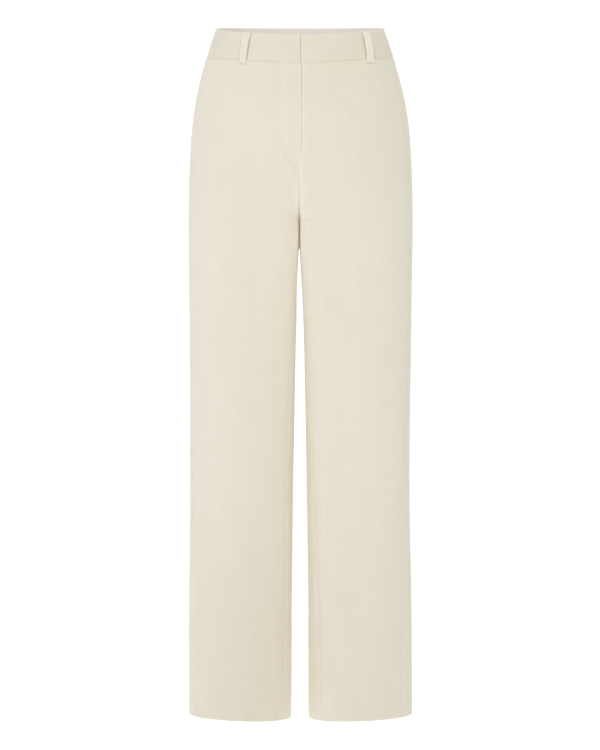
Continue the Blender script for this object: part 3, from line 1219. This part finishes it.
# ---- make everything ----
pieces = {}
for hand in (-1, 1):
    for is_front in (True, False):
        made, node, across, down, flat_area = leg_panel(hand, is_front)
        pieces[node] = (made, (float(across.max()) * MM, float(down.max()) * MM), flat_area)
for node, made, s, t, flat_area in waistband():
    made.data.materials.append(band_cord)
    made.data.materials.append(band_facing)
    pieces[node] = (made, (float(s[:, -1].max()) * MM, float(t[-1].max()) * MM), flat_area)
tacks = []
for loop in LOOPS:
    made, tack, length, flat_area = belt_loop(*loop)
    made.data.materials.append(pale_loop if loop[0] == "belt_loop_front_left" else loop_cord)
    made.data.materials.append(fold_cord)
    pieces[loop[0]] = (made, (LOOP_WIDTH * MM, length * MM), flat_area)
    tacks += tack
lap, tapes, coil = fly_inside()
pieces["fly_underlap"] = (lap, ((LAP_LEFT - LAP_RIGHT) * MM, (LAP_TOP - LAP_BOTTOM + 6) * MM), 0.00555)

# stitches: the fly's, the tacks at the loops' ends, and the darts'
curve = dense(FLY_STITCH, 1.0)
path, up = on_front(-1, np.minimum(curve[:, 0], -0.2), curve[:, 1], -0.30)
fly_stitches = thread_mesh("stitching_fly", stitch_runs(path, up, 2.5, 0.6, 0.14), 0.24)
bars = []
for path, up in tacks:
    bars += stitch_runs(path, up, 1.5, 0.25, 0.10)
tack_stitches = thread_mesh("stitching_loops", bars, 0.26)
extras = [fly_stitches, tack_stitches]

for node, (made, flat, flat_area) in pieces.items():
    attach(made, "root")
    if node.split("_")[0] in ("front", "back"):
        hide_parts(f"{node}_upper", f"{node}_lower")
    else:
        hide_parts(node)
for obj in extras:
    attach(obj, "root")
for obj in (*tapes, coil):
    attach(obj, "root")
for tape in tapes:
    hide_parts("zip")
for node, (made, flat, flat_area) in pieces.items():
    kind = node.split("_")[0]
    own = None if kind in ("waistband", "belt") else flat_area
    if own is not None:
        own = min(max(own, 0.31 * flat[0] * flat[1]), flat[0] * flat[1])
for node in ("zip_slider", "waist_hook", "waist_bar"):
    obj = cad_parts[node]
    obj.data.materials.clear()
    obj.data.materials.append(nickel)

# ---- floor, light and camera ----
def stage_material(name, value, glow):
    m = Nodes(name)
    where = m.add("ShaderNodeTexCoord").outputs["Object"]
    grain = m.noise(where, 3.0, 2.0)
    mix = m.add("ShaderNodeMix", data_type="RGBA")
    m.feed(mix.inputs["Factor"], grain)
    mix.inputs["A"].default_value = (value * 0.995,) * 3 + (1,)
    mix.inputs["B"].default_value = (value,) * 3 + (1,)
    m.feed(m.shader.inputs["Base Color"], mix.outputs["Result"])
    m.set(Roughness=0.9, Specular_IOR_Level=0.1, Emission_Color=(1, 1, 1, 1), Emission_Strength=glow)
    # clear from behind, so that it hides nothing from a camera outside it
    clear, both = m.add("ShaderNodeBsdfTransparent"), m.add("ShaderNodeMixShader")
    m.feed(both.inputs[0], m.add("ShaderNodeNewGeometry").outputs["Backfacing"])
    m.tree.links.new(m.shader.outputs[0], both.inputs[1])
    m.tree.links.new(clear.outputs[0], both.inputs[2])
    m.tree.links.new(both.outputs[0], m.tree.nodes["Material Output"].inputs["Surface"])
    return m.made


def backdrop():
    """A floor that sweeps up into a wall."""
    floor, far, radius, width = -1.105, 3.2, 1.2, 9.0
    profile = [(-9.0, floor), (far - radius, floor)]
    for k in range(1, 17):
        a = k / 16 * math.pi / 2
        profile.append((far - radius + radius * math.sin(a), floor + radius * (1 - math.cos(a))))
    profile.append((far, 6.0))
    points = [(side * width, y, z) for y, z in profile for side in (-1, 1)]
    faces = [(2 * i, 2 * i + 1, 2 * i + 3, 2 * i + 2) for i in range(len(profile) - 1)]
    mesh = bpy.data.meshes.new("backdrop")
    mesh.from_pydata(points, [], faces)
    mesh.shade_smooth()
    made = bpy.data.objects.new("backdrop", mesh)
    bpy.context.scene.collection.objects.link(made)
    made.data.materials.append(stage_material("paper", 0.92, 0.30))


backdrop()


def softbox(name, at, aim, size, power, colour=(1, 1, 1)):
    light = bpy.data.lights.new(name, "AREA")
    light.shape, light.size, light.size_y = "RECTANGLE", size[0], size[1]
    light.energy, light.color = power, colour
    made = bpy.data.objects.new(name, light)
    made.location = at
    made.rotation_euler = (Vector(at) - Vector(aim)).to_track_quat("Z", "Y").to_euler()
    bpy.context.scene.collection.objects.link(made)


CENTRE = (0.0, 0.0, -0.45)
softbox("key", (-1.5, -3.0, 1.8), CENTRE, (2.4, 2.4), 30.0)
softbox("behind", (0.0, 1.6, 3.2), (0, 3.0, -0.6), (4.0, 1.6), 40.0)
softbox("waist", (0.0, -0.16, 0.62), (0.0, 0.09, 0.02), (0.5, 0.2), 0.4)


def into_waist(name, at, aim, power):
    """A narrow beam down into the waist, onto the inside of one side."""
    light = bpy.data.lights.new(name, "SPOT")
    light.energy, light.spot_size, light.spot_blend = power, math.radians(24), 1.0
    light.shadow_soft_size = 0.05
    made = bpy.data.objects.new(name, light)
    made.location = at
    made.rotation_euler = (Vector(at) - Vector(aim)).to_track_quat("Z", "Y").to_euler()
    bpy.context.scene.collection.objects.link(made)


into_waist("waist_right", (0.16, -0.14, 0.55), (-0.122, 0.045, 0.03), 3.6)
into_waist("waist_left", (-0.16, -0.14, 0.55), (0.120, 0.045, 0.03), 2.2)


def wash(name, azimuth, elevation, power, colour=(1, 1, 1)):
    """Even light from the side that casts no shadow, as from white walls all round."""
    light = bpy.data.lights.new(name, "AREA")
    light.shape, light.size, light.size_y = "RECTANGLE", 1.2, 1.6
    light.energy, light.color = power, colour
    light.use_shadow = False
    made = bpy.data.objects.new(name, light)
    a, e = math.radians(azimuth), math.radians(elevation)
    at = 2.5 * Vector((math.sin(a) * math.cos(e), -math.cos(a) * math.cos(e), math.sin(e))) + Vector((0, 0, -0.1))
    made.location = at
    made.rotation_euler = (at - Vector((0, 0, -0.35))).to_track_quat("Z", "Y").to_euler()
    bpy.context.scene.collection.objects.link(made)


wash("wash_rear", -105, 5, 1.3)
wash("wash_left", -72, 5, 14.8, (0.985, 0.99, 1.10))
wash("wash_high_left", -8, 40, 11.9)
wash("wash_high_right", 30, 40, 8.5)
wash("wash_front", 30, 5, 4.9)
wash("wash_right", 72, 5, 10.5, (1.03, 1.0, 0.965))

world = bpy.data.worlds.new("studio")
bpy.context.scene.world = world
world.use_nodes = True
background = world.node_tree.nodes["Background"]
background.inputs["Color"].default_value = (1.0, 1.0, 1.0, 1)
background.inputs["Strength"].default_value = 0.20

camera = bpy.data.cameras.new("camera")
camera.sensor_width = 36.0
camera.lens = 36.0 * 4.0 / 1.140
camera.clip_end = 50.0
looking = bpy.data.objects.new("camera", camera)
looking.location = (0.0, -4.0, -0.505)
looking.rotation_euler = (math.pi / 2, 0.0, 0.0)
bpy.context.scene.collection.objects.link(looking)
bpy.context.scene.camera = looking
bpy.context.scene.view_settings.view_transform = "Standard"
